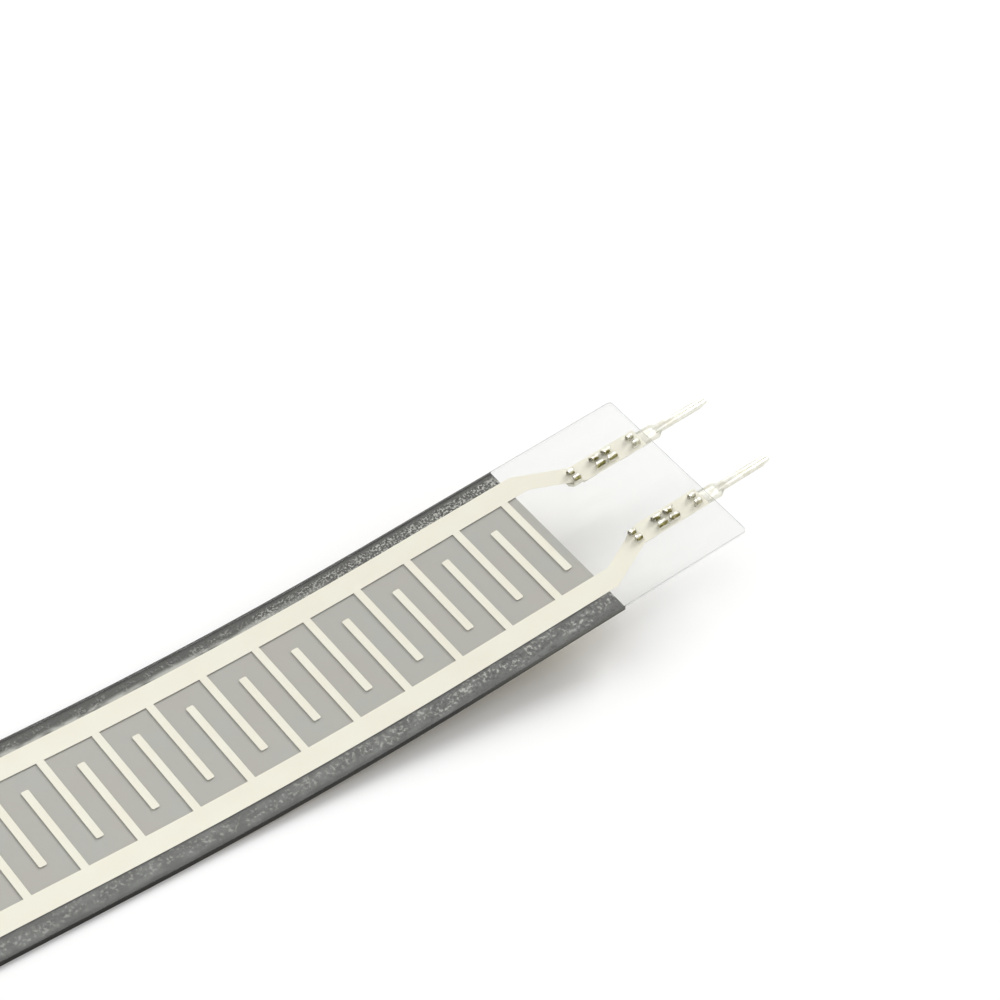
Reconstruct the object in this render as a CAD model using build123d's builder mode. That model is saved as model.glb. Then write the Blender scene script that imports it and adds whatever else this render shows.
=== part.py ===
from build123d import *
from math import atan, cos, floor, sin
import os

# A strip-type force sensing resistor, lying on its liner with the terminal end curled up a little.
# Millimetres, +Z up, +X towards the terminal end, origin at the middle of the flat mounting face.
# Places along the strip are given as t, the distance from the terminal end, measured on the film.
# Heights through the stack are given as h, measured from the underside of the liner.

# Film outline
film_width = 15.24
active_length = 100.0
first_finger_edge = 11.45
end_border = 1.25
film_corner_radius = 0.3

# Curl: a straight tail, then a gentle bend, then the flat run that lies on the table
tail_straight = 22.0
bend_length = 28.0
bend_radius = 217.0
bend_arcs = 12

# Stack, from the liner up
liner_thickness = 0.09
rear_adhesive_thickness = 0.05
backing_thickness = 0.10
ink_thickness = 0.02
spacer_thickness = 0.09
electrode_film_thickness = 0.10
trace_thickness = 0.012

# Printed pattern
ink_start = 10.73
pattern_offset = 0.235
border_width = 1.445
bus_width = 1.70
finger_pitch = 2.10
finger_width = 0.57
finger_tip_gap = 1.55
finger_tip_radius = 0.12
bus_overlap = 0.80

# Leads and pads in the clear tail
lead_bend = 10.0
lead_width = 1.35
pad_rear = 6.207
pad_width = 1.70
pad_end_margin = 0.45

# Vent through the spacer
vent_width = 1.0
opening_margin = 0.35
opening_radius = 0.5

# Solder contacts
contact_pitch = 6.95
contact_centre = 3.73
sheet_thickness = 0.15
plate_width = 1.30
plate_half_length = 3.30
plate_chamfer = 0.40
plate_nose_width = 0.55
shoulder_reach = 0.90
pin_taper = 0.45
pin_width = 0.66
pin_reach = 5.60
pin_tip_length = 0.75
pin_tip_width = 0.30
fold_start = 0.85
seam_width = 0.05
seam_mouth = 0.22
seam_mouth_length = 1.40
pin_edge_radius = 0.08

# Claws, four pairs to a contact: two broad pairs in the middle and a narrower pair near each end
claw_spread = 1.10
claw_width = 0.86
end_claw_width = 0.62
claw_tip_width = 0.44
claw_height = 0.36
claw_inside_radius = 0.08
middle_pair_spacing = 1.04
end_pair_spacing = 5.28
pierce_clearance = 0.03
notch_margin = 0.10

# Worked out from the values above
film_length = first_finger_edge + active_length + end_border
bend_end = tail_straight + bend_length
flat_run = film_length - bend_end
bend_angle = bend_length / bend_radius
bend_x = flat_run / 2

adhesive_bottom = liner_thickness
backing_bottom = adhesive_bottom + rear_adhesive_thickness
ink_bottom = backing_bottom + backing_thickness
spacer_bottom = ink_bottom + ink_thickness
film_bottom = spacer_bottom + spacer_thickness
film_top = film_bottom + electrode_film_thickness
trace_bottom = film_bottom - trace_thickness

# Across the strip, y is measured from its middle line, towards the far edge
far_bus_outer = film_width / 2 - border_width + pattern_offset
far_bus_inner = far_bus_outer - bus_width
near_bus_outer = -film_width / 2 + border_width + pattern_offset
near_bus_inner = near_bus_outer + bus_width
pattern_end = first_finger_edge + active_length
finger_count = floor((active_length - finger_width) / finger_pitch) + 1
far_contact_y = pattern_offset + contact_pitch / 2
near_contact_y = pattern_offset - contact_pitch / 2


def strip_point(t, h):
    # Point of the side view at distance t from the terminal end and height h in the stack
    if t >= bend_end:
        return (bend_x + bend_end - t, h)
    turn = min(bend_end - t, bend_length) / bend_radius
    beyond = max(tail_straight - t, 0)
    along = bend_x + (bend_radius - h) * sin(turn) + beyond * cos(turn)
    up = bend_radius - (bend_radius - h) * cos(turn) + beyond * sin(turn)
    return (along, up)


def strip_x(t):
    return strip_point(t, film_bottom)[0]


def far_point(t, h):
    # The same point, at the strip's far edge
    along, up = strip_point(t, h)
    return (along, film_width / 2, up)


def side_edges(t_from, t_to, h):
    # Side line of a layer's face: lines on the straight stretches, and on the bend equal arcs that
    # start and stop at the same places in every layer, so that even thin layers facet alike
    arc_ends = [tail_straight + bend_length * number / bend_arcs for number in range(bend_arcs + 1)]
    knots = [t for t in arc_ends if min(t_from, t_to) < t < max(t_from, t_to)]
    stops = [t_from] + sorted(knots, reverse=t_from > t_to) + [t_to]
    edges = []
    for start, stop in zip(stops, stops[1:]):
        middle = (start + stop) / 2
        first, between, last = far_point(start, h), far_point(middle, h), far_point(stop, h)
        if tail_straight < middle < bend_end:
            edges.append(Edge.make_three_point_arc(first, between, last))
        else:
            edges.append(Edge.make_line(first, last))
    return edges


def run_across(t_near, t_far, bottom, top, mode=Mode.ADD):
    # A layer between two distances from the terminal end, from the strip's far edge to its near edge.
    # It isn't cleaned, which would merge the arcs of the bend.
    underside = side_edges(t_far, t_near, bottom)
    near_end = Edge.make_line(far_point(t_near, bottom), far_point(t_near, top))
    upper_side = side_edges(t_near, t_far, top)
    far_end = Edge.make_line(far_point(t_far, top), far_point(t_far, bottom))
    side = Face(Wire(underside + [near_end] + upper_side + [far_end]))
    extrude(side, amount=film_width, dir=(0, -1, 0), clean=False, mode=mode)


def round_corners(film, thickness):
    # Round the four corners of a film's outline
    corners = film.edges().filter_by(lambda edge: edge.length < 2 * thickness)
    add(film.part.fillet(film_corner_radius, corners), clean=False, mode=Mode.REPLACE)


def draw_patch(t_near, t_far, y_low, y_high):
    # Rectangle of the plan view, between two distances from the terminal end
    x_far, x_near = strip_x(t_far), strip_x(t_near)
    with Locations(((x_far + x_near) / 2, (y_low + y_high) / 2)):
        Rectangle(x_near - x_far, y_high - y_low)


# Plane of the raised tail: x points out of the terminal end, z is square to the film, h = 0 at z = 0
tail_corner = strip_point(0, 0)
tail_plane = Plane(
    origin=(tail_corner[0], 0, tail_corner[1]),
    x_dir=(cos(bend_angle), 0, sin(bend_angle)),
    z_dir=(-sin(bend_angle), 0, cos(bend_angle)),
)
cut_height = tail_corner[1] + 4 * film_top

# A claw is a leg bent up from the plate's edge, which curls in over the film
claw_radius = claw_inside_radius + sheet_thickness
claw_crown = film_top + claw_height - claw_radius
leg_outer = claw_spread / 2
leg_inner = leg_outer - sheet_thickness
claw_middle = leg_outer - claw_radius
tip_inner = leg_outer - 2 * claw_radius
claw_foot = backing_bottom - sheet_thickness / 2


def make_claw(width):
    # One claw, at the middle of its contact; it narrows from its leg to its tip
    with BuildPart() as claw:
        with BuildSketch(Plane.YZ):
            with BuildLine():
                Line((leg_outer, claw_foot), (leg_outer, claw_crown))
                ThreePointArc(
                    (leg_outer, claw_crown),
                    (claw_middle, claw_crown + claw_radius),
                    (tip_inner, claw_crown),
                )
                Polyline(
                    (tip_inner, claw_crown),
                    (tip_inner, film_top),
                    (tip_inner + sheet_thickness, film_top),
                    (tip_inner + sheet_thickness, claw_crown),
                )
                ThreePointArc(
                    (tip_inner + sheet_thickness, claw_crown),
                    (claw_middle, claw_crown + claw_inside_radius),
                    (leg_inner, claw_crown),
                )
                Polyline((leg_inner, claw_crown), (leg_inner, claw_foot), (leg_outer, claw_foot))
            make_face()
        extrude(amount=width / 2, both=True)
        with BuildSketch(Plane.XY):
            with BuildLine():
                Polyline(
                    (-width / 2, leg_outer),
                    (width / 2, leg_outer),
                    (width / 2, leg_inner),
                    (claw_tip_width / 2, tip_inner),
                    (-claw_tip_width / 2, tip_inner),
                    (-width / 2, leg_inner),
                    close=True,
                )
            make_face()
        extrude(amount=film_top + 2 * claw_height, both=True, mode=Mode.INTERSECT)
    return claw.part


middle_claw = make_claw(claw_width)
end_claw = make_claw(end_claw_width)
rear_spot = -contact_centre - end_pair_spacing / 2
middle_spots = (-contact_centre - middle_pair_spacing / 2, -contact_centre + middle_pair_spacing / 2)
front_spot = -contact_centre + end_pair_spacing / 2

# One contact, flat, with x out of the terminal end and y across from its own middle line
plate_top = backing_bottom
plate_bottom = backing_bottom - sheet_thickness
pin_top = plate_bottom + 2 * sheet_thickness
plate_rear = -contact_centre - plate_half_length
pin_start = shoulder_reach + pin_taper
middle_notch = claw_width / 2 + notch_margin
end_notch = end_claw_width / 2 + notch_margin
plate_notches = (
    (plate_rear, rear_spot + end_notch),
    (middle_spots[0] - middle_notch, middle_spots[1] + middle_notch),
    (front_spot - end_notch, front_spot + end_notch),
)
with BuildPart() as contact:
    with BuildSketch(Plane.XY.offset(plate_bottom)):
        with BuildLine():
            Polyline(
                (plate_rear, -plate_nose_width / 2),
                (plate_rear + plate_chamfer, -plate_width / 2),
                (shoulder_reach, -plate_width / 2),
                (pin_start, -pin_width / 2),
                (pin_reach - pin_tip_length, -pin_width / 2),
                (pin_reach, -pin_tip_width / 2),
                (pin_reach, pin_tip_width / 2),
                (pin_reach - pin_tip_length, pin_width / 2),
                (pin_start, pin_width / 2),
                (shoulder_reach, plate_width / 2),
                (plate_rear + plate_chamfer, plate_width / 2),
                (plate_rear, plate_nose_width / 2),
                close=True,
            )
        make_face()
        # The plate's edges are notched where the claws are bent up from them
        for notch_from, notch_to in plate_notches:
            for edge in (-1, 1):
                with Locations(((notch_from + notch_to) / 2, edge * (plate_width / 2 + leg_outer) / 2)):
                    Rectangle(notch_to - notch_from, plate_width / 2 - leg_outer, mode=Mode.SUBTRACT)
    extrude(amount=sheet_thickness)
    # The pin's two flanges, folded over onto it so that they meet at a seam
    with BuildSketch(Plane.XY.offset(plate_top)):
        with BuildLine():
            Polyline(
                (fold_start, -pin_width / 2),
                (pin_reach - pin_tip_length, -pin_width / 2),
                (pin_reach, -pin_tip_width / 2),
                (pin_reach, pin_tip_width / 2),
                (pin_reach - pin_tip_length, pin_width / 2),
                (fold_start, pin_width / 2),
                close=True,
            )
        make_face()
    extrude(amount=pin_top - plate_top)
    pin_edges = contact.edges().filter_by(Axis.X).group_by(Axis.Z)
    fillet(pin_edges[-1], pin_edge_radius)
    with BuildSketch(Plane.XY.offset(plate_top)):
        with BuildLine():
            Polyline(
                (fold_start, -seam_mouth / 2),
                (fold_start + seam_mouth_length, -seam_width / 2),
                (pin_reach, -seam_width / 2),
                (pin_reach, seam_width / 2),
                (fold_start + seam_mouth_length, seam_width / 2),
                (fold_start, seam_mouth / 2),
                close=True,
            )
        make_face()
    extrude(amount=sheet_thickness, mode=Mode.SUBTRACT)
    for spot, claw in (
        (rear_spot, end_claw),
        (middle_spots[0], middle_claw),
        (middle_spots[1], middle_claw),
        (front_spot, end_claw),
    ):
        with Locations((spot, 0, 0), Location((spot, 0, 0), (0, 0, 180))):
            add(claw)

# Slots that the claws pierce through the films, over both contacts
with BuildPart() as pierced:
    with BuildSketch(Plane.XY):
        for side in (far_contact_y, near_contact_y):
            for edge in (-1, 1):
                leg_y = side + edge * (leg_outer + leg_inner) / 2
                with Locations(*[(spot, leg_y) for spot in middle_spots]):
                    Rectangle(claw_width + 2 * pierce_clearance, sheet_thickness + 2 * pierce_clearance)
                with Locations((rear_spot, leg_y), (front_spot, leg_y)):
                    Rectangle(end_claw_width + 2 * pierce_clearance, sheet_thickness + 2 * pierce_clearance)
    extrude(amount=2 * film_top)
pierced_slots = pierced.part.moved(tail_plane.location)


def draw_lead(side, bus_outer, bus_inner, contact_y):
    # Lead from a bus to its contact and the pad under the contact; side is 1 far and -1 near
    pad_outer = contact_y + side * pad_width / 2
    pad_inner = contact_y - side * pad_width / 2
    slope = side * (bus_outer - pad_outer) / (lead_bend - pad_rear)
    inner_line = bus_outer - side * lead_width / cos(atan(slope))
    inner_bend = lead_bend - side * (inner_line - bus_inner) / slope
    inner_meets = lead_bend - side * (inner_line - pad_inner) / slope
    with BuildLine() as outline:
        Polyline(
            (strip_x(first_finger_edge), bus_outer),
            (strip_x(lead_bend), bus_outer),
            (strip_x(pad_rear), pad_outer),
            (strip_x(pad_end_margin), pad_outer),
            (strip_x(pad_end_margin), pad_inner),
            (strip_x(inner_meets), pad_inner),
            (strip_x(inner_bend), bus_inner),
            (strip_x(first_finger_edge), bus_inner),
            close=True,
        )
    make_face(outline.edges())


def draw_comb(side, first_finger):
    # Plan of one comb: bus, lead, pad and every second finger
    if side > 0:
        bus_outer, bus_inner, contact_y = far_bus_outer, far_bus_inner, far_contact_y
        tip_y = near_bus_inner + finger_tip_gap
    else:
        bus_outer, bus_inner, contact_y = near_bus_outer, near_bus_inner, near_contact_y
        tip_y = far_bus_inner - finger_tip_gap
    bus_low, bus_high = sorted((bus_outer, bus_inner))
    draw_patch(first_finger_edge, pattern_end, bus_low, bus_high)
    draw_lead(side, bus_outer, bus_inner, contact_y)
    finger_low, finger_high = sorted(((bus_outer + bus_inner) / 2, tip_y))
    for number in range(first_finger, finger_count, 2):
        edge = first_finger_edge + number * finger_pitch
        draw_patch(edge, edge + finger_width, finger_low, finger_high)
    return tip_y


def round_tips(plan, tip_y):
    # Round the corners of the free finger ends of a comb's plan
    tips = plan.vertices().filter_by_position(Axis.Y, tip_y - finger_tip_radius, tip_y + finger_tip_radius)
    fillet(tips, finger_tip_radius)


with BuildPart() as electrode_comb_far:
    with BuildSketch(Plane.XY) as far_plan:
        round_tips(far_plan, draw_comb(1, 0))
    extrude(amount=cut_height)
    run_across(0, film_length, trace_bottom, film_bottom, Mode.INTERSECT)
    add(pierced_slots, clean=False, mode=Mode.SUBTRACT)

with BuildPart() as electrode_comb_near:
    with BuildSketch(Plane.XY) as near_plan:
        round_tips(near_plan, draw_comb(-1, 1))
    extrude(amount=cut_height)
    run_across(0, film_length, trace_bottom, film_bottom, Mode.INTERSECT)
    add(pierced_slots, clean=False, mode=Mode.SUBTRACT)

with BuildPart() as electrode_film:
    run_across(0, film_length, film_bottom, film_top)
    round_corners(electrode_film, electrode_film_thickness)
    add(pierced_slots, clean=False, mode=Mode.SUBTRACT)

with BuildPart() as spacer_adhesive:
    run_across(0, film_length, ink_bottom, film_bottom)
    run_across(ink_start, film_length, ink_bottom, spacer_bottom, Mode.SUBTRACT)
    # Opening over the active zone, and the vent that lets its air out at the terminal end
    opening_start = ink_start + opening_margin
    with BuildSketch(Plane.XY) as opening:
        draw_patch(opening_start, pattern_end, near_bus_outer + bus_overlap, far_bus_outer - bus_overlap)
        fillet(opening.vertices(), opening_radius)
        draw_patch(
            -vent_width,
            opening_start + vent_width,
            pattern_offset - vent_width / 2,
            pattern_offset + vent_width / 2,
        )
    extrude(amount=cut_height, clean=False, mode=Mode.SUBTRACT)
    add(pierced_slots, clean=False, mode=Mode.SUBTRACT)
    add(electrode_comb_far.part, clean=False, mode=Mode.SUBTRACT)
    add(electrode_comb_near.part, clean=False, mode=Mode.SUBTRACT)

with BuildPart() as semiconductive_layer:
    run_across(ink_start, film_length, ink_bottom, spacer_bottom)

with BuildPart() as backing_film:
    run_across(0, film_length, backing_bottom, ink_bottom)
    round_corners(backing_film, backing_thickness)
    add(pierced_slots, clean=False, mode=Mode.SUBTRACT)

with BuildPart() as rear_adhesive:
    run_across(ink_start, film_length, adhesive_bottom, backing_bottom)

with BuildPart() as release_liner:
    run_across(ink_start, film_length, 0, adhesive_bottom)

with BuildPart() as solder_contact_far:
    with Locations(tail_plane.location * Location((0, far_contact_y, 0))):
        add(contact.part)

with BuildPart() as solder_contact_near:
    with Locations(tail_plane.location * Location((0, near_contact_y, 0))):
        add(contact.part)

os.makedirs("parts", exist_ok=True)
electrode_film.part.label = "electrode_film"
export_step(electrode_film.part, "parts/electrode_film.step")
electrode_comb_far.part.label = "electrode_comb_far"
export_step(electrode_comb_far.part, "parts/electrode_comb_far.step")
electrode_comb_near.part.label = "electrode_comb_near"
export_step(electrode_comb_near.part, "parts/electrode_comb_near.step")
spacer_adhesive.part.label = "spacer_adhesive"
export_step(spacer_adhesive.part, "parts/spacer_adhesive.step")
semiconductive_layer.part.label = "semiconductive_layer"
export_step(semiconductive_layer.part, "parts/semiconductive_layer.step")
backing_film.part.label = "backing_film"
export_step(backing_film.part, "parts/backing_film.step")
rear_adhesive.part.label = "rear_adhesive"
export_step(rear_adhesive.part, "parts/rear_adhesive.step")
release_liner.part.label = "release_liner"
export_step(release_liner.part, "parts/release_liner.step")
solder_contact_far.part.label = "solder_contact_far"
export_step(solder_contact_far.part, "parts/solder_contact_far.step")
solder_contact_near.part.label = "solder_contact_near"
export_step(solder_contact_near.part, "parts/solder_contact_near.step")
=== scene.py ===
import math

import bmesh
import bpy
from mathutils import Matrix, Vector, noise


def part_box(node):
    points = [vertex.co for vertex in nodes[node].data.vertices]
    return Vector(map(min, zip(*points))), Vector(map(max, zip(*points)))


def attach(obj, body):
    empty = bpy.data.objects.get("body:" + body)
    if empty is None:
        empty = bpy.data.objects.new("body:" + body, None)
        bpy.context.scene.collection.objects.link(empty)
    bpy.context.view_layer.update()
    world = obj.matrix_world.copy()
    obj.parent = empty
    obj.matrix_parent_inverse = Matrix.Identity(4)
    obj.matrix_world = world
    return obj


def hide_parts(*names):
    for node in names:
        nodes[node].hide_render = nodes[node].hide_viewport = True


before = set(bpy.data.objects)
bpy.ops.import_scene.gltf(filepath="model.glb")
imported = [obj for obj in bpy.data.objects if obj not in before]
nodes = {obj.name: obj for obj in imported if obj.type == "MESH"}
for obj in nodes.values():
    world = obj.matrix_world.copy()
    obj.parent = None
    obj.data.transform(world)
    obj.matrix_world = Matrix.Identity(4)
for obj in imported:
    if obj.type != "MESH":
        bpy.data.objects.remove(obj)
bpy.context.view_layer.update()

mm = 0.001

# The film's box in metres, and the places that the patterns start from in millimetres
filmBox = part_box("electrode_film")
filmEnd = filmBox[1].x / mm
filmStart = filmBox[0].x / mm
filmSide = filmBox[1].y / mm
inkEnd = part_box("semiconductive_layer")[1].x / mm
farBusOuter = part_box("electrode_comb_far")[1].y / mm
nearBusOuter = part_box("electrode_comb_near")[0].y / mm


class Wire:
    # A shader socket that takes part in Python expressions
    def __init__(self, finish, socket):
        self.finish = finish
        self.socket = socket

    def maths(self, operation, *others):
        return self.finish.add("ShaderNodeMath", {"operation": operation}, [self, *others])[0]

    def __add__(self, other):
        return self.maths("ADD", other)

    __radd__ = __add__

    def __mul__(self, other):
        return self.maths("MULTIPLY", other)

    __rmul__ = __mul__

    def __sub__(self, other):
        return self.maths("SUBTRACT", other)

    def __rsub__(self, other):
        return self.finish.add("ShaderNodeMath", {"operation": "SUBTRACT"}, [other, self])[0]

    def __gt__(self, other):
        return self.maths("GREATER_THAN", other)

    def __lt__(self, other):
        return self.maths("LESS_THAN", other)

    def size(self):
        return self.maths("ABSOLUTE")

    def most(self, other):
        return self.maths("MAXIMUM", other)

    def rise(self, low, high):
        # 0 below low, 1 above high, and smooth between them
        settings = {"interpolation_type": "SMOOTHSTEP"}
        return self.finish.add("ShaderNodeMapRange", settings, [self, low, high, 0.0, 1.0])[0]


class Finish:
    # A material, or the world, and the nodes that make its surface
    def __init__(self, owner):
        owner.use_nodes = True
        self.owner = owner
        self.tree = owner.node_tree
        self.tree.nodes.clear()
        self.place = None

    def add(self, kind, settings=None, values=()):
        # One node: its settings first, then its sockets, by order or by name
        node = self.tree.nodes.new(kind)
        for name, value in (settings or {}).items():
            setattr(node, name, value)
        named = values.items() if isinstance(values, dict) else enumerate(values)
        for key, value in named:
            if isinstance(value, Wire):
                self.tree.links.new(value.socket, node.inputs[key])
            elif value is not None:
                node.inputs[key].default_value = value
        return [Wire(self, socket) for socket in node.outputs]

    def coords(self):
        # Object coordinates, in millimetres
        if self.place is None:
            spot = self.add("ShaderNodeTexCoord")[3]
            scale = (1 / mm, 1 / mm, 1 / mm)
            self.place = self.add("ShaderNodeVectorMath", {"operation": "MULTIPLY"}, [spot, scale])[0]
        return self.place

    def axes(self):
        return self.add("ShaderNodeSeparateXYZ", None, [self.coords()])

    def normal(self):
        # The three parts of the direction that the surface faces
        return self.add("ShaderNodeSeparateXYZ", None, [self.add("ShaderNodeNewGeometry")[1]])

    def noise(self, perMm, detail=2.0, roughness=0.5, stretch=(1.0, 1.0, 1.0), shift=0.0):
        # Noise with perMm features to a millimetre along each axis, about 0.5
        settings = {"operation": "MULTIPLY_ADD"}
        scale = tuple(perMm * share for share in stretch)
        spot = self.add("ShaderNodeVectorMath", settings, [self.coords(), scale, (shift,) * 3])[0]
        values = {"Vector": spot, "Scale": 1.0, "Detail": detail, "Roughness": roughness}
        return self.add("ShaderNodeTexNoise", None, values)[0]

    def blend(self, share, first, second):
        # Colour from first at share 0 to second at share 1
        settings = {"data_type": "RGBA", "clamp_factor": True}
        values = {0: share, 6: self.shade(first), 7: self.shade(second)}
        return self.add("ShaderNodeMix", settings, values)[2]

    def shade(self, colour):
        return colour if isinstance(colour, Wire) else (*colour, 1.0)

    def bump(self, height, distance):
        values = {"Strength": 1.0, "Distance": distance, "Height": height}
        return self.add("ShaderNodeBump", None, values)[0]

    def skin(self, **values):
        # The surface's own shader; a name's capital letters start its words
        named = {}
        for name, value in values.items():
            words = "".join(" " + letter if letter.isupper() else letter for letter in name)
            named[words.title()] = self.shade(value) if isinstance(value, tuple) else value
        return self.add("ShaderNodeBsdfPrincipled", None, named)[0]

    def mixed(self, share, first, second):
        return self.add("ShaderNodeMixShader", None, [share, first, second])[0]

    def done(self, shader):
        kind = "World" if isinstance(self.owner, bpy.types.World) else "Material"
        self.add("ShaderNodeOutput" + kind, None, [shader])
        return self.owner


def newFinish(name):
    return Finish(bpy.data.materials.new(name))


def dress(obj, material):
    # Every slot of the piece gets this material
    if not obj.data.materials:
        obj.data.materials.append(material)
    for slot in obj.material_slots:
        slot.material = material


def linear(red, green, blue):
    # A colour as it looks on screen, 0 to 255, as the shader's own values
    def straight(value):
        share = value / 255
        return share / 12.92 if share <= 0.04045 else ((share + 0.055) / 1.055) ** 2.4

    return (straight(red), straight(green), straight(blue))


# Camera, at the photograph's place: it looks down on the terminal end from the near side. Its places
# and lens are in millimetres.
view = {
    "spot": (-31.357, -108.361, 156.240),
    "target": (71.684, 7.759, 0.0),
    "roll": -6.299,
    "lens": 110.89,
    "sensor": 36.0,
    "clipFrom": 0.01,  # metres
    "clipTo": 10.0,
}


def placeCamera():
    data = bpy.data.cameras.new("camera")
    data.lens = view["lens"]
    data.sensor_width = view["sensor"]
    data.clip_start = view["clipFrom"]
    data.clip_end = view["clipTo"]
    obj = bpy.data.objects.new("camera", data)
    bpy.context.scene.collection.objects.link(obj)
    spot = Vector(view["spot"]) * mm
    aim = (Vector(view["target"]) * mm - spot).normalized()
    level = aim.cross(Vector((0, 0, 1))).normalized()
    up = level.cross(aim)
    roll = Matrix.Rotation(math.radians(view["roll"]), 4, aim)
    turned = Matrix((level, up, -aim)).transposed().to_4x4()
    obj.matrix_world = Matrix.Translation(spot) @ roll @ turned
    bpy.context.scene.camera = obj


placeCamera()
print("camera placed")

# Table, light and surroundings, in metres: an even sky, and two weak lamps for the shadows
studio = {
    "tableSide": 3.0,
    "tableDrop": 0.01 * mm,
    "tableColour": (0.93, 0.93, 0.925),
    "tableRoughness": 0.9,
    "tableGlow": 0.025,  # added where the table is seen directly, so that it shows white
    "skyColour": (1.0, 1.0, 1.0),
    "skyLevel": 0.65,  # lights the part; where the sky is seen directly it is plain white
    "lampAim": (0.05, 0, 0),
    "clearBounces": 32,  # clear faces that one ray may pass
}
farLamp = {"name": "farLamp", "spot": (-0.369, 0.913, 1.261), "side": 1.16, "power": 4.6}
endLamp = {"name": "endLamp", "spot": (1.23, 0.573, 0.848), "side": 0.68, "power": 14.6}


def seenDirectly(finish):
    # 1 for what the camera sees, also in a gloss or through a clear piece
    path = finish.add("ShaderNodeLightPath")
    return path[0].most(path[3]).most(path[6])


def layTable():
    mesh = bpy.data.meshes.new("table")
    bm = bmesh.new()
    bmesh.ops.create_grid(bm, x_segments=1, y_segments=1, size=studio["tableSide"] / 2)
    bmesh.ops.translate(bm, verts=bm.verts, vec=(0, 0, -studio["tableDrop"]))
    bm.to_mesh(mesh)
    bm.free()
    obj = bpy.data.objects.new("table", mesh)
    bpy.context.scene.collection.objects.link(obj)
    finish = newFinish("whiteTable")
    card = finish.skin(baseColor=studio["tableColour"], roughness=studio["tableRoughness"])
    strength = seenDirectly(finish) * studio["tableGlow"]
    glow = finish.add("ShaderNodeEmission", None, [None, strength])[0]
    dress(obj, finish.done(finish.add("ShaderNodeAddShader", None, [card, glow])[0]))


def hangLamp(lamp):
    data = bpy.data.lights.new(lamp["name"], "AREA")
    data.shape = "SQUARE"
    data.size = lamp["side"]
    data.energy = lamp["power"]
    obj = bpy.data.objects.new(lamp["name"], data)
    bpy.context.scene.collection.objects.link(obj)
    spot = Vector(lamp["spot"])
    aim = Vector(studio["lampAim"]) - spot
    turned = aim.to_track_quat("-Z", "Y").to_matrix().to_4x4()
    obj.matrix_world = Matrix.Translation(spot) @ turned


def lightSky():
    world = bpy.data.worlds.new("studio")
    bpy.context.scene.world = world
    finish = Finish(world)
    level = studio["skyLevel"] + seenDirectly(finish) * (1 - studio["skyLevel"])
    colour = finish.shade(studio["skyColour"])
    finish.done(finish.add("ShaderNodeBackground", None, [colour, level])[0])


layTable()
hangLamp(farLamp)
hangLamp(endLamp)
lightSky()
bpy.context.scene.view_settings.view_transform = "Standard"
bpy.context.scene.cycles.transparent_max_bounces = studio["clearBounces"]
print("table and light placed")

# The clear layers are bonded face to face, so each is drawn a hair thinner than its solid
clearLayers = {
    "bondLine": 0.002 * mm,
    "mergeWithin": 0.0005 * mm,
    "sharpFrom": math.radians(25),
}


def thinLayer(nodeName, name):
    source = nodes[nodeName]
    mesh = bpy.data.meshes.new(name)
    bm = bmesh.new()
    bm.from_mesh(source.data)
    bmesh.ops.remove_doubles(bm, verts=bm.verts, dist=clearLayers["mergeWithin"])
    bm.normal_update()
    for corner in bm.verts:
        corner.co -= corner.normal * clearLayers["bondLine"]
    bm.to_mesh(mesh)
    bm.free()
    mesh.shade_smooth()
    mesh.set_sharp_from_angle(angle=clearLayers["sharpFrom"])
    obj = bpy.data.objects.new(name, mesh)
    bpy.context.scene.collection.objects.link(obj)
    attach(obj, "root")
    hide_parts(nodeName)
    return obj


# The clear sheets: a faint veil, a gloss on the side that faces the air, and a painted outline where the
# cut edge catches the light. Where the carbon ink lies between them, their cut edges are painted nearly
# black along the flat run, partly the ink seen through them and partly painted contact shadow, and paler
# where the strip rises off the table, as painted light coming through from below, with the adhesive and
# liner as a dark line under them.
sheets = {
    "glossRoughness": 0.10,
    "glossIor": 1.4,
    "glossColour": (1.0, 1.0, 1.0),
    "bodyRoughness": 0.6,
    "edgeClear": (0.40, 0.41, 0.42),
    "edgeShareInk": 0.96,  # how solid the cut edge looks where the ink is
    # cut side on the flat run: partly the ink seen through the clear edges, partly painted contact
    # shadow
    "edgeInk": (0.006, 0.006, 0.004),
    # cut side where the strip is raised: painted light coming through from below
    "edgeLitFromBelow": (0.13, 0.13, 0.115),
    "edgeBelowRaised": (0.03, 0.03, 0.02),
    "paleRange": (55.0, 68.0),  # along the strip, where it leaves the table
    "scuff": {"perMm": 0.9, "detail": 4.0, "stretch": (0.35, 1.0, 1.0)},
    "scuffSpread": 0.4,
    "scuffLeast": 0.8,
    "upright": 0.5,  # the steepest a face may point up or down and still be a cut side
    "outline": 0.35,  # a cut side is within this of the film's outline, in millimetres
}
topFilm = {"veil": 0.072, "veilColour": (0.36, 0.37, 0.34), "airSide": 1, "edgeShare": 0.60}
lowerFilm = {"veil": 0.085, "veilColour": (0.36, 0.37, 0.35), "airSide": -1, "edgeShare": 0.12}
spacer = {"veil": 0.008, "veilColour": (0.38, 0.38, 0.32), "airSide": 0, "edgeShare": 0.02}


def inkSide(finish, raisedColour):
    # Colour of the strip's cut side where the ink lies in it: painted contact shadow on the flat run,
    # painted light from below where it rises
    raised = finish.axes()[0].rise(*sheets["paleRange"])
    return finish.blend(raised, sheets["edgeInk"], raisedColour)


def cutEdge(finish, colour, raisedColour):
    # A layer of the dark stack: its own colour on its faces, and the strip's on its cut side
    upright = finish.normal()[2].size() < sheets["upright"]
    return finish.blend(upright, colour, inkSide(finish, raisedColour))


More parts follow.
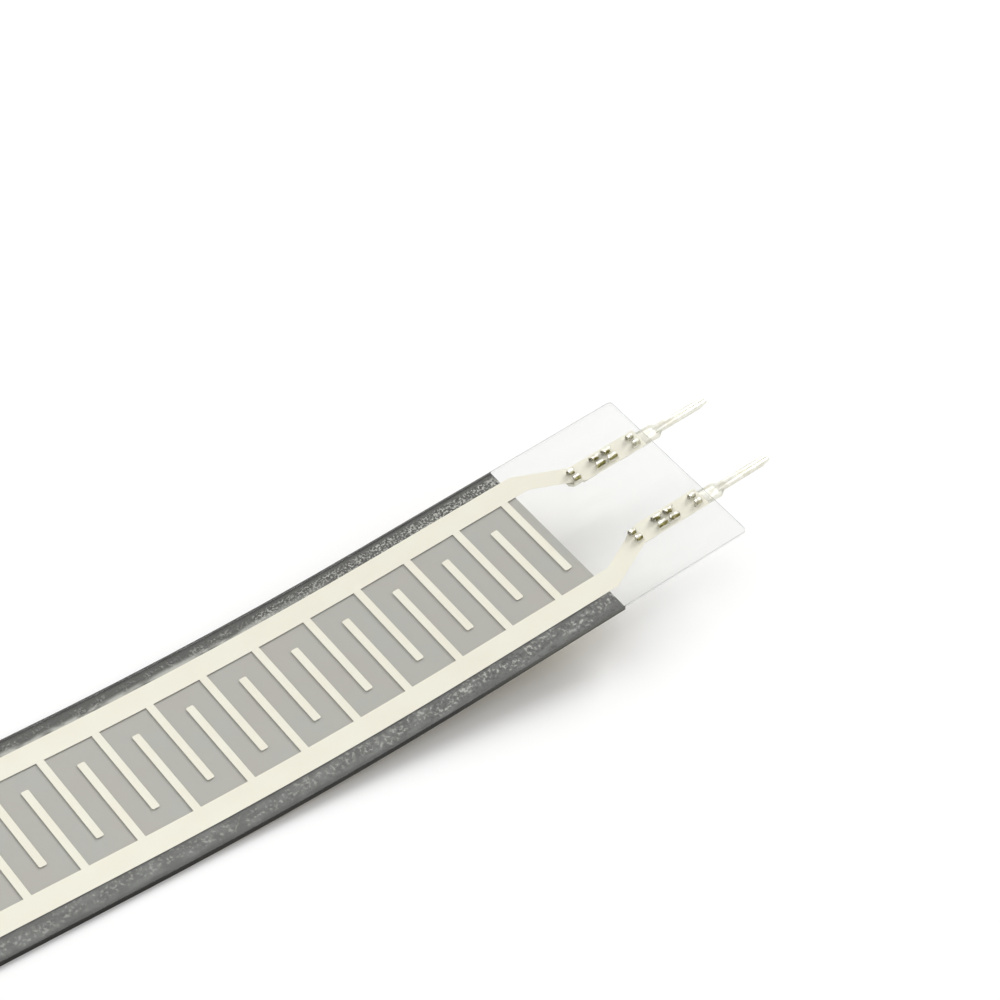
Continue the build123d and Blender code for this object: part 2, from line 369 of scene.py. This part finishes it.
def clearSheet(name, sheet):
    finish = newFinish(name)
    x, y = finish.axes()[:2]
    lean = finish.normal()[2]
    sides = y.size() > filmSide - sheets["outline"]
    ends = (x > filmEnd - sheets["outline"]).most(x < filmStart + sheets["outline"])
    upright = lean.size() < sheets["upright"]
    edge = upright * sides.most(ends)
    outside = 1 - finish.add("ShaderNodeNewGeometry")[6]  # 1 on a face seen from outside
    flat = outside * (1 - upright)
    overInk = x < inkEnd
    colour = finish.blend(edge * overInk, sheets["edgeClear"], inkSide(finish, sheets["edgeLitFromBelow"]))
    colour = finish.blend(edge, sheet["veilColour"], colour)
    scuff = finish.noise(**sheets["scuff"]) * sheets["scuffSpread"] + sheets["scuffLeast"]
    veil = flat * scuff * sheet["veil"]
    deeper = overInk * (sheets["edgeShareInk"] - sheet["edgeShare"]) + sheet["edgeShare"]
    body = finish.skin(baseColor=colour, roughness=sheets["bodyRoughness"])
    clear = finish.add("ShaderNodeBsdfTransparent")[0]
    layer = finish.mixed(veil + edge * deeper, clear, body)
    if not sheet["airSide"]:
        return finish.done(layer)
    airy = lean * sheet["airSide"] > sheets["upright"]
    gleam = finish.skin(
        baseColor=sheets["glossColour"],
        metallic=1.0,
        roughness=sheets["glossRoughness"],
    )
    mirror = finish.add("ShaderNodeFresnel", None, [sheets["glossIor"]])[0]
    return finish.done(finish.mixed(mirror * flat * airy, layer, gleam))


def makeElectrodeFilm():
    obj = thinLayer("electrode_film", "electrode_film_sheet")
    dress(obj, clearSheet("electrodeFilm", topFilm))


def makeBackingFilm():
    obj = thinLayer("backing_film", "backing_film_sheet")
    dress(obj, clearSheet("backingFilm", lowerFilm))


def makeSpacer():
    obj = thinLayer("spacer_adhesive", "spacer_adhesive_sheet")
    dress(obj, clearSheet("spacerAdhesive", spacer))


# Silver ink of the combs: pale cream, with the fine grain of a printing screen
silver = {
    "colour": linear(241, 238, 221),
    "warmer": linear(241, 236, 219),
    "cooler": linear(241, 239, 222),
    "patch": {"perMm": 0.35, "detail": 2.0},
    "patchRange": (0.38, 0.62),
    "grain": {"perMm": 6.0, "detail": 3.0, "roughness": 0.7},
    "grainRange": (0.3, 0.7),
    "grainShare": 0.5,
    "grainHeight": 0.0006 * mm,
    "roughness": 0.45,
    "roughnessSpread": 0.2,
}


def makeCombs():
    finish = newFinish("silverInk")
    patch = finish.noise(**silver["patch"]).rise(*silver["patchRange"])
    grain = finish.noise(**silver["grain"])
    colour = finish.blend(patch, silver["warmer"], silver["cooler"])
    grainy = grain.rise(*silver["grainRange"]) * silver["grainShare"]
    material = finish.done(finish.skin(
        baseColor=finish.blend(grainy, colour, silver["colour"]),
        roughness=grain * silver["roughnessSpread"] + silver["roughness"],
        normal=finish.bump(grain, silver["grainHeight"]),
    ))
    dress(nodes["electrode_comb_far"], material)
    dress(nodes["electrode_comb_near"], material)


# Carbon ink: light where the air gap is over it, partly the dry ink's own grey and partly a painted
# sheen of the air gap's reflecting faces, and dark where the adhesive wets it. Towards the terminal end
# the bonded borders are full of fine bubbles; further along they are smoother, with pale clouds.
carbon = {
    # open zone: the dry ink's grey with a painted sheen of the air gap's reflecting faces
    "openGreyAndSheen": linear(176, 176, 169),
    "openWarmGreyAndSheen": linear(177, 174, 166),
    "openPatch": {"perMm": 0.25, "detail": 3.0},
    "openPatchRange": (0.30, 0.70),
    "wetDeep": linear(12, 12, 10),
    "wetPit": linear(30, 28, 22),
    "wetSmooth": linear(62, 62, 58),
    "wetFar": linear(70, 70, 66),
    "wetNear": linear(86, 86, 84),
    "wetCloud": linear(128, 130, 126),
    "bubbleColour": linear(204, 204, 196),
    "wetReach": 0.8,  # how far the wet border goes in under a bus
    "farEndFrom": -30.1,  # along the strip, where the combs end
    "bubblyRange": (44.0, 60.0),  # along the strip, where the bubbles set in
    "haze": {"perMm": 1.1, "detail": 4.0, "stretch": (0.6, 1.2, 1.0), "shift": 9.1},
    "hazeRange": (0.42, 0.66),
    "hazeShare": 0.45,
    "grain": {"perMm": 6.0, "detail": 2.0},
    "grainHeight": 0.0004 * mm,
    "roughness": 0.65,
    "roughnessSpread": 0.2,
}

# Far border, from the film's edge inwards: a dark outer line, fine bubbles and pits, and pale clouds
# along the bus further on
farBorder = {
    "outerLine": (0.04, 0.20),
    "inner": (0.22, 0.50),
    "fine": {"perMm": 6.2, "detail": 2.0, "roughness": 0.7},
    "cluster": {"perMm": 0.9, "detail": 3.0, "shift": 3.7},
    "clusterRange": (0.44, 0.62),
    "clusterShare": 0.40,  # bubbles and pits in clusters, all along the strip
    "bubbleRange": (0.50, 0.59),
    "bubbleShare": 0.56,
    "pitRange": (0.40, 0.48),
    "pitShare": 0.80,
    "cloud": {"perMm": 0.8, "detail": 3.0, "stretch": (0.5, 1.2, 1.0), "shift": 6.2},
    "cloudRange": (0.36, 0.58),
    "cloudFrom": (0.66, 1.05),
    "cloudShare": 0.78,
}

# Near border, from the bus outwards: paler, with a wandering band of bubbles along its middle
nearBorder = {
    "wander": {"perMm": 0.35, "detail": 1.0, "stretch": (1.0, 0.0, 0.0), "shift": 2.3},
    "wanderReach": 1.4,
    "wanderBack": 0.1,
    "bandHalf": (0.20, 0.75),  # full this near to the band's middle, gone this far from it
    "speck": {"perMm": 3.6, "detail": 3.0, "roughness": 0.65, "shift": 1.9},
    "pitRange": (0.34, 0.46),
    "pitShare": 0.6,
    "bubbleRange": (0.50, 0.66),
    "bubbleShare": 0.35,
    "outer": (1.1, 1.6),
    "outerShare": 0.2,
    "outerSmoothShare": 0.5,
}


def farBorderInk(finish, y, bubbly):
    border = farBorder
    fromEdge = filmSide - y
    fine = finish.noise(**border["fine"])
    cluster = finish.noise(**border["cluster"]).rise(*border["clusterRange"]) * border["clusterShare"]
    inner = fromEdge.rise(*border["inner"])
    bubbles = fine.rise(*border["bubbleRange"]) * (bubbly * border["bubbleShare"] + cluster) * inner
    pits = (1 - fine.rise(*border["pitRange"])) * (bubbly * border["pitShare"] + cluster) * inner
    cloud = finish.noise(**border["cloud"]).rise(*border["cloudRange"])
    clouds = cloud * (1 - bubbly) * fromEdge.rise(*border["cloudFrom"]) * border["cloudShare"]
    colour = finish.blend(bubbly, carbon["wetSmooth"], carbon["wetFar"])
    colour = finish.blend(pits, colour, carbon["wetPit"])
    colour = finish.blend(bubbles, colour, carbon["bubbleColour"])
    colour = finish.blend(clouds, colour, carbon["bubbleColour"])
    return finish.blend(1 - fromEdge.rise(*border["outerLine"]), colour, carbon["wetDeep"])


def nearBorderInk(finish, y, bubbly, haze):
    border = nearBorder
    fromBus = nearBusOuter - y
    wander = finish.noise(**border["wander"]) * border["wanderReach"] - border["wanderBack"]
    band = 1 - (fromBus - wander).size().rise(*border["bandHalf"])
    speck = finish.noise(**border["speck"])
    pits = (1 - speck.rise(*border["pitRange"])) * bubbly * border["pitShare"]
    bubbles = speck.rise(*border["bubbleRange"]) * band
    bubbles = bubbles * (bubbly * border["bubbleShare"] + border["bubbleShare"])
    outer = fromBus.rise(*border["outer"])
    outer = outer * ((1 - bubbly) * border["outerSmoothShare"] + border["outerShare"])
    colour = finish.blend(haze, carbon["wetNear"], carbon["wetCloud"])
    colour = finish.blend(pits, colour, carbon["wetPit"])
    colour = finish.blend(bubbles, colour, carbon["bubbleColour"])
    return finish.blend(outer, colour, carbon["wetPit"])


def makeInk():
    finish = newFinish("carbonInk")
    x, y = finish.axes()[:2]
    far = y > farBusOuter - carbon["wetReach"]
    near = y < nearBusOuter + carbon["wetReach"]
    bubbly = x.rise(*carbon["bubblyRange"])
    haze = finish.noise(**carbon["haze"]).rise(*carbon["hazeRange"]) * carbon["hazeShare"]
    patch = finish.noise(**carbon["openPatch"]).rise(*carbon["openPatchRange"])
    openInkAndSheen = finish.blend(patch, carbon["openGreyAndSheen"], carbon["openWarmGreyAndSheen"])
    # Beyond the combs the films are bonded right across the strip
    endInk = finish.blend(haze, carbon["wetSmooth"], carbon["wetCloud"])
    colour = finish.blend(x < carbon["farEndFrom"], openInkAndSheen, endInk)
    colour = finish.blend(far, colour, farBorderInk(finish, y, bubbly))
    colour = finish.blend(near, colour, nearBorderInk(finish, y, bubbly, haze))
    grain = finish.noise(**carbon["grain"])
    dress(nodes["semiconductive_layer"], finish.done(finish.skin(
        baseColor=cutEdge(finish, colour, sheets["edgeLitFromBelow"]),
        roughness=grain * carbon["roughnessSpread"] + carbon["roughness"],
        normal=finish.bump(grain, carbon["grainHeight"]),
    )))


# Rear adhesive: amber brown, over the liner
glue = {
    "colour": linear(120, 104, 72),
    "darker": linear(96, 82, 56),
    "haze": {"perMm": 1.6, "detail": 3.0},
    "hazeRange": (0.35, 0.65),
    "roughness": 0.3,
    "roughnessSpread": 0.2,
}


def makeRearAdhesive():
    finish = newFinish("rearAdhesive")
    haze = finish.noise(**glue["haze"])
    colour = finish.blend(haze.rise(*glue["hazeRange"]), glue["colour"], glue["darker"])
    dress(nodes["rear_adhesive"], finish.done(finish.skin(
        baseColor=cutEdge(finish, colour, sheets["edgeBelowRaised"]),
        roughness=haze * glue["roughnessSpread"] + glue["roughness"],
    )))


# Kraft liner: long fibres and soft clouds
kraft = {
    "colour": linear(160, 146, 104),
    "darker": linear(150, 137, 97),
    "fibreColour": linear(170, 156, 115),
    "cloudy": {"perMm": 0.18, "detail": 2.0, "shift": 5.0},
    "cloudyRange": (0.20, 0.80),
    "fibre": {"perMm": 6.0, "detail": 4.0, "roughness": 0.7, "stretch": (0.2, 1.6, 1.0)},
    "fibreRange": (0.55, 0.75),
    "fibreShare": 0.6,
    "fibreHeight": 0.004 * mm,
    "roughness": 0.35,
    "roughnessSpread": 0.3,
}


def makeLiner():
    finish = newFinish("kraftLiner")
    fibre = finish.noise(**kraft["fibre"])
    cloudy = finish.noise(**kraft["cloudy"]).rise(*kraft["cloudyRange"])
    fibrous = fibre.rise(*kraft["fibreRange"]) * kraft["fibreShare"]
    colour = finish.blend(cloudy, kraft["darker"], kraft["colour"])
    colour = finish.blend(fibrous, colour, kraft["fibreColour"])
    dress(nodes["release_liner"], finish.done(finish.skin(
        baseColor=cutEdge(finish, colour, sheets["edgeBelowRaised"]),
        roughness=fibre * kraft["roughnessSpread"] + kraft["roughness"],
        normal=finish.bump(fibre, kraft["fibreHeight"]),
    )))


# Solder contacts: bright tin over copper alloy, crumpled where the claws were curled over, with a
# painted olive dark reflection down the claws' sides that face the near edge
contact = {
    "tin": linear(243, 242, 233),
    "tinDull": linear(231, 229, 216),
    "dull": {"perMm": 1.8, "detail": 4.0, "roughness": 0.6},
    "dullRange": (0.42, 0.62),
    "worn": {"perMm": 3.6, "detail": 3.0, "roughness": 0.6, "shift": 7.3},
    "tinBruise": linear(168, 163, 142),
    "bruiseRange": (0.50, 0.60),
    "bruiseShare": 0.6,
    # painted dark reflection: olive colours put on the faces that look to the near edge
    "paintedReflection": linear(164, 158, 104),
    "paintedReflectionDeep": linear(116, 110, 66),
    "paintedReflectionDeepRange": (0.40, 0.58),
    "paintedReflectionSide": (0.45, 0.75),  # how squarely a face looks to the near edge
    "paintedReflectionPatch": (0.30, 0.46),
    "paintedReflectionPatchShare": 0.3,
    "paintedReflectionLeast": 0.7,
    "pinPaintedReflection": 0.06,
    "frontRange": (78.4, 79.6),  # along the strip, where the claws nearest the pins start
    "frontPaintedReflection": 0.45,
    "hammer": {"perMm": 4.5, "detail": 2.0, "roughness": 0.5},
    "hammerHeight": 0.08 * mm,
    "hammerFlat": 0.1,
    "hammerClaws": 0.9,
    "grain": {"perMm": 16.0, "detail": 3.0, "roughness": 0.7, "stretch": (0.3, 1.0, 1.0)},
    "grainHeight": 0.001 * mm,
    "roughness": 0.22,
    "roughnessSpread": 0.25,
    "roughnessFlat": 0.18,
    "tailSlope": 0.1298,  # rise of the straight, raised tail along the strip
    "bevel": 0.06 * mm,
    "bevelSteps": 2,
    "bevelFrom": math.radians(40),
    "splits": 3,  # rounds that halve the long edges, for the dents
    "longEdge": 0.14 * mm,
    "dentDepth": 0.07 * mm,
    "dentPerMm": 3.2,
    "sharpFrom": math.radians(50),
}


def overFilm(spot):
    # Height of a point above the raised film's top face
    return spot.z - filmBox[1].z + (filmBox[1].x - spot.x) * contact["tailSlope"]


def onClaw(item):
    # True for an edge or a face of the claws
    return all(overFilm(corner.co) > 0 for corner in item.verts)


def isFold(edge):
    return onClaw(edge) and edge.calc_face_angle(0) > contact["bevelFrom"]


def isLong(edge):
    return onClaw(edge) and edge.calc_length() > contact["longEdge"]


def crumpleContact(nodeName):
    # A copy of the contact whose claws have rounded edges and dents from the crimping tool
    source = nodes[nodeName]
    mesh = bpy.data.meshes.new(nodeName + "_crumpled")
    bm = bmesh.new()
    bm.from_mesh(source.data)
    bmesh.ops.remove_doubles(bm, verts=bm.verts, dist=clearLayers["mergeWithin"])
    bmesh.ops.bevel(
        bm,
        geom=[edge for edge in bm.edges if isFold(edge)],
        offset=contact["bevel"],
        segments=contact["bevelSteps"],
        profile=0.5,
        affect="EDGES",
        clamp_overlap=True,
        material=-1,
    )
    for _ in range(contact["splits"]):
        bmesh.ops.subdivide_edges(bm, edges=[edge for edge in bm.edges if isLong(edge)], cuts=1)
        bmesh.ops.triangulate(bm, faces=bm.faces)
    bm.normal_update()
    for corner in bm.verts:
        if overFilm(corner.co) > 0:
            dent = noise.noise(corner.co * contact["dentPerMm"] / mm) * 0.5 + 0.5  # from 0 to 1
            corner.co -= corner.normal * dent * contact["dentDepth"]
    for face in bm.faces:
        face.smooth = onClaw(face)
    bm.to_mesh(mesh)
    bm.free()
    mesh.set_sharp_from_angle(angle=contact["sharpFrom"])
    obj = bpy.data.objects.new(nodeName + "_crumpled", mesh)
    bpy.context.scene.collection.objects.link(obj)
    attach(obj, "root")
    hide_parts(nodeName)
    return obj


def makeContacts():
    finish = newFinish("tinnedContact")
    x, _, z = finish.axes()
    # The claws are what stands above the raised film
    claws = z > filmBox[1].z / mm - (filmEnd - x) * contact["tailSlope"]
    dull = finish.noise(**contact["dull"])
    worn = finish.noise(**contact["worn"])
    colour = finish.blend(dull.rise(*contact["dullRange"]), contact["tin"], contact["tinDull"])
    bruise = worn.rise(*contact["bruiseRange"]) * claws * contact["bruiseShare"]
    colour = finish.blend(bruise, colour, contact["tinBruise"])

    # Painted dark reflection on what faces the near edge: most on the claws, less on the front ones, a
    # trace on the pin
    nearFacing = (0 - finish.normal()[1]).rise(*contact["paintedReflectionSide"])
    front = x.rise(*contact["frontRange"]) * (1 - contact["frontPaintedReflection"])
    reach = claws * (1 - contact["pinPaintedReflection"]) * (1 - front) + contact["pinPaintedReflection"]
    patchy = worn.rise(*contact["paintedReflectionPatch"]) * contact["paintedReflectionPatchShare"] + contact["paintedReflectionLeast"]
    deep = worn.rise(*contact["paintedReflectionDeepRange"])
    paintedReflection = finish.blend(deep, contact["paintedReflection"], contact["paintedReflectionDeep"])
    colour = finish.blend(nearFacing * reach * patchy, colour, paintedReflection)

    hammer = finish.noise(**contact["hammer"]) * contact["hammerHeight"]
    hammer = hammer * (claws * contact["hammerClaws"] + contact["hammerFlat"])
    grain = finish.noise(**contact["grain"]) * contact["grainHeight"]
    roughness = dull * contact["roughnessSpread"] + contact["roughness"]
    material = finish.done(finish.skin(
        baseColor=colour,
        metallic=1.0,
        roughness=roughness + (1 - claws) * contact["roughnessFlat"],
        normal=finish.bump(hammer + grain, 1.0),
    ))
    dress(crumpleContact("solder_contact_far"), material)
    dress(crumpleContact("solder_contact_near"), material)


makeElectrodeFilm()
makeBackingFilm()
makeSpacer()
print("clear layers made")
makeCombs()
makeInk()
print("printed layers made")
makeRearAdhesive()
makeLiner()
print("adhesive and liner made")
makeContacts()
print("contacts made")
